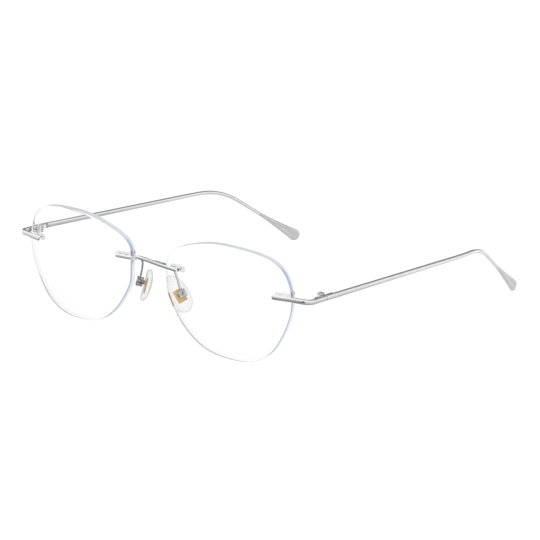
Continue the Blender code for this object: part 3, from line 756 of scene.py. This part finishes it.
def core_solids(grow):
    plate = box(CORE_PLATE + Vector((2 * grow, 2 * grow, 2 * grow)), CORE_CENTRE)
    size = STEM + Vector((2 * grow, 2 * grow, 0))
    stem = box(size, (BOX_CENTRE.x, BOX_CENTRE.y, CORE_CENTRE.z - size.z / 2))
    return plate, stem


def nose_pad():
    """Soft pad with a rolled rim at the back and a crown towards the nose, hollow round its core."""
    ring = smooth_path([Vector(p) * MM for p in PAD_OUTLINE], 9, closed=True)
    bm = bmesh.new()
    skin(bm, [[bm.verts.new((p.x * k, p.y * k, z * MM)) for p in ring] for z, k in PAD_LAYERS])
    for index, face in enumerate(bm.faces):
        face.material_index = 1 if index // len(ring) in PAD_RIM_LAYERS else 0
    pad = add_object("pad", mesh_from(bm, "pad"), pad_matrix())
    for look in PAD_LOOKS:
        pad.data.materials.append(look)
    boolean(pad, [add_object("core", solid, pad_matrix()) for solid in core_solids(GAP)], "DIFFERENCE")
    return smooth(pad, radians(50))


def nose_pad_core():
    """The plate moulded into the pad, with its stem bored for the screw."""
    plate, stem = core_solids(0.0)
    core = add_object("core", plate, pad_matrix())
    boolean(core, [add_object("stem", stem, pad_matrix())], "UNION")
    bore = drum(PAD_SCREW_R + 0.05 * MM, -3 * MM, 3 * MM, 0.02 * MM, sides=28)
    boolean(core, [add_object("bore", bore, pad_screw_matrix())], "DIFFERENCE")
    bevel(core, 0.06 * MM, 2, radians(60))
    return smooth(core)


def nose_pad_box():
    """A cup open towards the pad, bored across for its screw."""
    cup = add_object("box", box(BOX_SIZE, BOX_CENTRE), pad_matrix())
    bevel(cup, 0.3 * MM, 4, radians(60))
    hollow = Vector((BOX_SIZE.x - 2 * BOX_WALL, BOX_SIZE.y - 2 * BOX_WALL, BOX_SIZE.z))
    bore = drum(PAD_SCREW_R + GAP, -3 * MM, 3 * MM, 0.02 * MM, sides=28)
    tools = [add_object("hollow", box(hollow, BOX_CENTRE + Vector((0, 0, BOX_WALL))), pad_matrix()),
             add_object("bore", bore, pad_screw_matrix())]
    boolean(cup, tools, "DIFFERENCE")
    return smooth(cup)


def nose_pad_screw():
    end = BOX_SIZE.x / 2
    return slotted_screw(PAD_SCREW_R, PAD_HEAD_R, -end, end + GAP, PAD_HEAD, 0.2 * MM, 0.0,
                         pad_screw_matrix())


def wire(name, path, radius, sides=20):
    """A round wire with domed ends, swept with a frame that doesn't twist."""
    bm = bmesh.new()
    rings = []
    side = (path[1] - path[0]).orthogonal().normalized()
    for index, centre in enumerate(path):
        along = (path[min(index + 1, len(path) - 1)] - path[max(index - 1, 0)]).normalized()
        side = (side - along * side.dot(along)).normalized()
        other = along.cross(side)
        stations = [(0.0, 1.0)]
        if index == 0:
            stations = [(-0.35, 0.25), (-0.3, 0.6), (-0.16, 0.9), (0.0, 1.0)]
        if index == len(path) - 1:
            stations = [(0.0, 1.0), (0.0, 0.96)]
        for offset, share in stations:
            rings.append([bm.verts.new(centre + along * offset * radius
                                       + (side * cos(2 * pi * k / sides) + other * sin(2 * pi * k / sides))
                                       * radius * share) for k in range(sides)])
    skin(bm, rings)
    return add_object(name, mesh_from(bm, name))


def nose_pad_arm():
    end = pad_matrix() @ (BOX_CENTRE + Vector((0, BOX_SIZE.y / 2 + GAP, -0.25 * MM)))
    route = [Vector(p) * MM + Vector((0, LENS_Y, 0)) for p in ARM_ROUTE]
    return smooth(wire("arm", smooth_path(route + [end], 8), ARM_R), radians(50))


# ---------------------------------------------------------------- materials

class Graph:
    """A node tree with short calls that add a node, feed it and give its output."""

    def __init__(self, tree):
        self.tree = tree

    def feed(self, socket, value):
        if isinstance(value, bpy.types.NodeSocket):
            self.tree.links.new(value, socket)
        else:
            socket.default_value = value

    def node(self, kind, *values, **settings):
        made = self.tree.nodes.new("ShaderNode" + kind)
        for name, setting in settings.items():
            setattr(made, name, setting)
        for socket, value in zip(made.inputs, values):
            self.feed(socket, value)
        return made

    def math(self, operation, *values):
        return self.node("Math", *values, operation=operation).outputs["Value"]

    def span(self, value, low, high, to_low=0.0, to_high=1.0, soft=True):
        """Maps a range of a value to another range, softly at both ends unless told otherwise."""
        kind = "SMOOTHSTEP" if soft else "LINEAR"
        made = self.node("MapRange", value, low, high, to_low, to_high, interpolation_type=kind)
        return made.outputs["Result"]

    def ramp(self, value, stops):
        """Colours along a value. A stop is (position, colour)."""
        made = self.node("ValToRGB", value)
        elements = made.color_ramp.elements
        while len(elements) < len(stops):
            elements.new(0.5)
        for element, (position, colour) in zip(elements, stops):
            element.position = position
            element.color = (*colour, 1.0)
        return made.outputs["Color"]

    def mix(self, factor, first, second):
        made = self.node("Mix", factor, data_type="RGBA")
        for name, colour in (("A", first), ("B", second)):
            socket = next(item for item in made.inputs if item.name == name and item.type == "RGBA")
            self.feed(socket, (*colour, 1.0) if isinstance(colour, tuple) else colour)
        return next(item for item in made.outputs if item.type == "RGBA")

    def place(self):
        """Coordinates in the piece's own space, with x counted outward on both sides."""
        split = self.node("SeparateXYZ", self.node("TexCoord").outputs["Object"])
        return self.math("ABSOLUTE", split.outputs["X"]), split.outputs["Y"], split.outputs["Z"]

    def noise(self, scale, detail=3.0):
        """Noise in the piece's own space, in cycles a metre."""
        texture = self.node("TexNoise")
        self.feed(texture.inputs["Vector"], self.node("TexCoord").outputs["Object"])
        self.feed(texture.inputs["Scale"], scale)
        self.feed(texture.inputs["Detail"], detail)
        return texture.outputs["Fac"]


def new_material(name):
    made = bpy.data.materials.new(name)
    made.use_nodes = True
    return made, Graph(made.node_tree), made.node_tree.nodes["Principled BSDF"].inputs


def bump(graph, shader, height, strength, distance):
    relief = graph.node("Bump")
    graph.feed(relief.inputs["Strength"], strength)
    graph.feed(relief.inputs["Distance"], distance)
    graph.feed(relief.inputs["Height"], height)
    graph.feed(shader["Normal"], relief.outputs["Normal"])


def metal(name, dark, light, rough, patch=260.0, metallic=1.0):
    """Polished metal: tone and gloss drift a little, over a fine grain."""
    made, graph, shader = new_material(name)
    shader["Metallic"].default_value = metallic
    graph.feed(shader["Base Color"], graph.ramp(graph.noise(patch), [(0.3, dark), (0.7, light)]))
    fine = graph.noise(2500.0, 4.0)
    graph.feed(shader["Roughness"], graph.span(fine, 0.3, 0.7, *rough, soft=False))
    bump(graph, shader, fine, 0.05, GRAIN_DEPTH)
    return made


def satin(name, dark, light):
    """Lacquered tip: a soft metallic sheen over a fine speckle."""
    made, graph, shader = new_material(name)
    shader["Metallic"].default_value = 0.85
    shader["Coat Weight"].default_value = 0.15
    shader["Coat Roughness"].default_value = 0.3
    graph.feed(shader["Base Color"], graph.ramp(graph.noise(600.0), [(0.3, dark), (0.7, light)]))
    fine = graph.noise(4000.0, 4.0)
    graph.feed(shader["Roughness"], graph.span(fine, 0.3, 0.7, 0.2, 0.28, soft=False))
    bump(graph, shader, fine, 0.04, GRAIN_DEPTH)
    return made


def lens_face(name):
    """Coated optical plastic, polished."""
    made, graph, shader = new_material(name)
    shader["Base Color"].default_value = (1.0, 1.0, 1.0, 1.0)
    shader["Transmission Weight"].default_value = 1.0
    shader["IOR"].default_value = 1.5
    graph.feed(shader["Roughness"], graph.span(graph.noise(700.0), 0.3, 0.7, 0.0, 0.004, soft=False))
    return made


def lens_depth(graph):
    """How far behind the front surface a point lies, as a share of the lens's thickness."""
    middle = lens_matrix() @ Vector((0.0, LENS_RADIUS, 0.0))
    out, back, up = graph.place()
    point = graph.node("CombineXYZ", out, back, up).outputs["Vector"]
    reach = graph.node("VectorMath", point, tuple(middle), operation="DISTANCE").outputs["Value"]
    return graph.span(reach, LENS_RADIUS, LENS_RADIUS - LENS_THICK, soft=False)


def lens_edge(name):
    """Painted light: the clear edge's look is painted as colour, violet towards its front rim, above all on
    its sides, greyer on top, and a painted grey shade where seen through the lens.
    """
    made, graph, shader = new_material(name)
    shader["Roughness"].default_value = 0.3
    out, _, height = graph.place()
    depth = lens_depth(graph)
    geometry = graph.node("NewGeometry").outputs
    facing = graph.node("SeparateXYZ", geometry["Normal"]).outputs
    # Painted light: the way the edge faces sets violet sides against a greyer top.
    side = graph.span(graph.math("ABSOLUTE", facing["X"]), 0.45, 0.85)
    reach = graph.span(height, 24 * MM, 27.5 * MM, 0.5, 1.0)
    violet = graph.ramp(graph.math("DIVIDE", depth, reach), EDGE_SIDE)
    outside = graph.mix(side, graph.ramp(depth, EDGE_TOP), violet)
    # Painted reflection of the mounts, laid over the edge colour.
    with_reflection = graph.mix(edge_stain(graph, out, depth, height), outside, EDGE_MOUNT_REFLECTION)
    graph.feed(shader["Base Color"], graph.mix(geometry["Backfacing"], with_reflection, EDGE_SHADE_THROUGH))
    through = graph.span(height, 13 * MM, 9 * MM, 0.2, 0.5)
    solid = graph.span(geometry["Backfacing"], 0, 1, 0.97, 0)
    graph.feed(shader["Alpha"], graph.math("MAXIMUM", solid, through))
    return made


def edge_stain(graph, out, depth, height):
    """A painted reflection: the mounts' brown glint in the edge, just above each bar and strongest at the
    two rims.
    """
    nasal = graph.span(out, 30 * MM, 20 * MM)
    low, high = MOUNT_REFLECTION_HEIGHT
    level = graph.math("ADD", graph.math("MULTIPLY", nasal, high - low), low)
    off = graph.math("ABSOLUTE", graph.math("SUBTRACT", height, level))
    near = graph.span(off, 0.9 * MM, 0.3 * MM)
    rims = graph.span(graph.math("ABSOLUTE", graph.math("SUBTRACT", depth, 0.5)), 0.12, 0.3)
    return graph.math("MULTIPLY", graph.math("MULTIPLY", near, rims), 0.85)


def clear_moulding(name, haze, rim, stops, hidden_in_lens=False):
    """A faint haze, with its colour painted darker towards the rims where the surface turns away, as painted
    shade. A stop is (how far the surface turns away, density).
    """
    made, graph, shader = new_material(name)
    shader["Roughness"].default_value = 0.15
    turned_away = graph.node("LayerWeight").outputs["Facing"]
    cloudy = graph.span(graph.noise(500.0), 0.3, 0.7, -0.04, 0.04, soft=False)
    tone = graph.math("ADD", turned_away, cloudy)
    # Painted shade: darker colour where the surface turns away from view.
    graph.feed(shader["Base Color"], graph.ramp(tone, [(0.45, haze), (0.85, rim)]))
    density = graph.ramp(turned_away, [(position, (amount,) * 3) for position, amount in stops])
    if hidden_in_lens:
        density = graph.math("MULTIPLY", density, graph.span(lens_depth(graph), 0.94, 0.99, 0.04, 1.0))
    graph.feed(shader["Alpha"], density)
    return made


# Painted light on the lens edge: greyer on top, violet on the sides, lighter towards the back rim, and a
# painted grey shade for the edge seen from inside the lens.
EDGE_TOP = [(0.0, (0.64, 0.66, 0.71)), (1.0, (0.82, 0.82, 0.85))]
EDGE_SIDE = [(0.0, (0.37, 0.40, 0.60)), (0.4, (0.46, 0.49, 0.70)),
             (0.8, (0.86, 0.86, 0.93)), (1.0, (0.95, 0.95, 0.97))]
EDGE_SHADE_THROUGH = (0.30, 0.30, 0.31)
# Colour and height band of the painted reflection of the mounts in the lens edge.
EDGE_MOUNT_REFLECTION = (0.26, 0.15, 0.14)
MOUNT_REFLECTION_HEIGHT = (27.2 * MM, 29.0 * MM)

STEEL = metal("polished_steel", (0.80, 0.80, 0.81), (0.88, 0.88, 0.885), (0.07, 0.15))
# Painted shade: a darker copy of the polished steel for the thin nose-pad arms.
SHADED_WIRE_STEEL = metal("shaded_wire_steel", (0.52, 0.52, 0.525), (0.62, 0.62, 0.625), (0.12, 0.24))
# Painted shade and highlights: base colour runs from near black to light in random patches, standing in for
# the dark streaks and bright glints on the nose-pad box and its screw.
MOTTLED_SHADE_STEEL = metal("mottled_shade_steel", (0.14, 0.14, 0.145), (0.80, 0.80, 0.805), (0.1, 0.3),
                   patch=900.0, metallic=0.5)
SCREW_STEEL = metal("screw_steel", (0.80, 0.80, 0.81), (0.88, 0.88, 0.885), (0.34, 0.44))
GOLD = metal("gold_plate", (0.84, 0.52, 0.06), (0.92, 0.62, 0.13), (0.16, 0.3), metallic=0.6)
TIP = satin("satin_tip", (0.60, 0.60, 0.605), (0.66, 0.66, 0.665))
LENS_FACE = lens_face("lens_face")
LENS_EDGE = lens_edge("lens_edge")
LENS_BORE = clear_moulding("lens_bore", (0.9, 0.9, 0.92), (0.5, 0.5, 0.52),
                           [(0.0, 0.01), (0.7, 0.02), (1.0, 0.06)])
BUSH = clear_moulding("clear_bush", (0.60, 0.60, 0.61), (0.42, 0.42, 0.43),
                      [(0.0, 0.16), (0.5, 0.22), (0.8, 0.4), (1.0, 0.7)], hidden_in_lens=True)
SILICONE = clear_moulding("clear_silicone", (0.75, 0.74, 0.77), (0.50, 0.495, 0.51),
                          [(0.0, 0.08), (0.4, 0.18), (0.7, 0.4), (1.0, 0.8)])
# Painted shade: a darker copy of the silicone for the pad's rolled rim.
SHADED_SILICONE_RIM = clear_moulding("shaded_silicone_rim", (0.60, 0.595, 0.615), (0.42, 0.415, 0.43),
                              [(0.0, 0.12), (0.4, 0.2), (0.75, 0.45), (1.0, 0.9)])
PAD_LOOKS = [SILICONE, SHADED_SILICONE_RIM]
LENS_LOOKS = [LENS_FACE, LENS_EDGE, LENS_BORE]


# ---------------------------------------------------------------- assembly

def build_pieces():
    span = bridge_bar()
    dress(span, "bridge_bar", "polished_metal", STEEL)
    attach(span, "front")
    pair(lens, "lens", "lens_clear", *LENS_LOOKS)
    for place, mount in MOUNTS.items():
        pair(lambda: bush(mount), f"lens_bush_{place}", "clear_plastic", BUSH)
        for number, x in enumerate(pin_places(), 1):
            pair(lambda: mount_pin(mount, x), f"mount_pin_{place}_{number}", "polished_metal", STEEL)
    for make in (endpiece, hinge_front, temple, hinge_rear):
        pair(make, make.__name__, "polished_metal", STEEL)
    pair(hinge_screw, "hinge_screw", "polished_metal", SCREW_STEEL)
    pair(nose_pad_arm, "nose_pad_arm", "polished_metal", SHADED_WIRE_STEEL)
    for make in (nose_pad_box, nose_pad_screw):
        pair(make, make.__name__, "polished_metal", MOTTLED_SHADE_STEEL)
    pair(tip, "temple_tip", "tip_satin", TIP)
    pair(nose_pad, "nose_pad", "silicone", *PAD_LOOKS)
    pair(nose_pad_core, "nose_pad_core", "gold_metal", GOLD)


# ---------------------------------------------------------------- studio

def mirrored(graph):
    """1 for a ray that was last mirrored by a gloss, and 0 for one that passed through or was scattered."""
    path = graph.node("LightPath").outputs
    return graph.math("MULTIPLY", path["Is Glossy Ray"], path["Is Reflection Ray"])


def build_floor():
    """White to sight. In reflections only, it darkens under the front as a painted shadow, and shows a
    painted dark reflection, like a dark card, in front of it.
    """
    low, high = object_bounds()
    bm = bmesh.new()
    bmesh.ops.create_grid(bm, x_segments=1, y_segments=1, size=FLOOR_HALF)
    floor = add_object("floor", mesh_from(bm, "floor"), Matrix.Translation((0, 0, low[2] - FLOOR_DROP)))
    made = bpy.data.materials.new("floor")
    made.use_nodes = True
    made.node_tree.nodes.clear()
    graph = Graph(made.node_tree)
    point = graph.node("TexCoord").outputs["Object"]
    # Painted shadow: darker round a point under the front, shown only to mirrored rays.
    distance = graph.node("VectorMath", point, FLOOR_SHADOW_CENTRE, operation="DISTANCE").outputs["Value"]
    shade = graph.ramp(distance, FLOOR_SHADOW_SHADES)
    # Painted dark reflection: a dark strip in front of the frame, shown only to mirrored rays.
    across = graph.node("VectorMath", point, DARK_REFLECTION_ACROSS, operation="DOT_PRODUCT").outputs["Value"]
    from_dark_reflection = graph.math("ABSOLUTE", graph.math("SUBTRACT", across, DARK_REFLECTION_OFFSET))
    in_front = graph.span(graph.node("SeparateXYZ", point).outputs["Y"], *DARK_REFLECTION_START)
    dark_reflection = graph.math("MULTIPLY", graph.span(from_dark_reflection, *reversed(DARK_REFLECTION_HALF)), in_front)
    shade = graph.mix(dark_reflection, shade, DARK_REFLECTION_COLOUR)
    glow = graph.node("Emission", graph.mix(mirrored(graph), FLOOR_WHITE, shade))
    graph.node("OutputMaterial", glow.outputs["Emission"])
    floor.data.materials.append(made)


def build_world():
    """White all round. In reflections it also holds a dark ceiling and a dark panel behind on the left."""
    world = bpy.data.worlds.new("studio")
    world.use_nodes = True
    graph = Graph(world.node_tree)
    direction = graph.node("TexCoord").outputs["Generated"]
    rise = graph.node("VectorMath", direction, CEILING_TOWARD, operation="DOT_PRODUCT").outputs["Value"]
    ceiling = graph.span(rise, *CEILING_SPAN, 0.0, CEILING_STRENGTH)
    toward = graph.node("VectorMath", direction, PANEL_TOWARD, operation="DOT_PRODUCT").outputs["Value"]
    dark = graph.math("MAXIMUM", ceiling, graph.span(toward, *PANEL_SPAN))
    seen = graph.math("MULTIPLY", dark, mirrored(graph))
    background = world.node_tree.nodes["Background"].inputs["Color"]
    graph.feed(background, graph.mix(seen, WORLD_WHITE, WORLD_DARK))
    bpy.context.scene.world = world


def build_camera():
    a, e = VIEW_AZIMUTH, VIEW_ELEVATION
    back = Vector((sin(a) * cos(e), -cos(a) * cos(e), sin(e)))
    right = Vector((cos(a), sin(a), 0))
    up = back.cross(right)
    across = right * cos(VIEW_ROLL) + up * sin(VIEW_ROLL)
    rise = up * cos(VIEW_ROLL) - right * sin(VIEW_ROLL)
    data = bpy.data.cameras.new("camera")
    data.lens = VIEW_LENS
    data.sensor_width = 36.0
    data.clip_start = 0.01
    camera = bpy.data.objects.new("camera", data)
    bpy.context.scene.collection.objects.link(camera)
    turn = Matrix((across, rise, back)).transposed().to_4x4()
    camera.matrix_world = Matrix.Translation(VIEW_TARGET + back * VIEW_DISTANCE) @ turn
    bpy.context.scene.camera = camera


build_camera()
build_pieces()
build_floor()
build_world()
bpy.context.scene.view_settings.view_transform = "Standard"
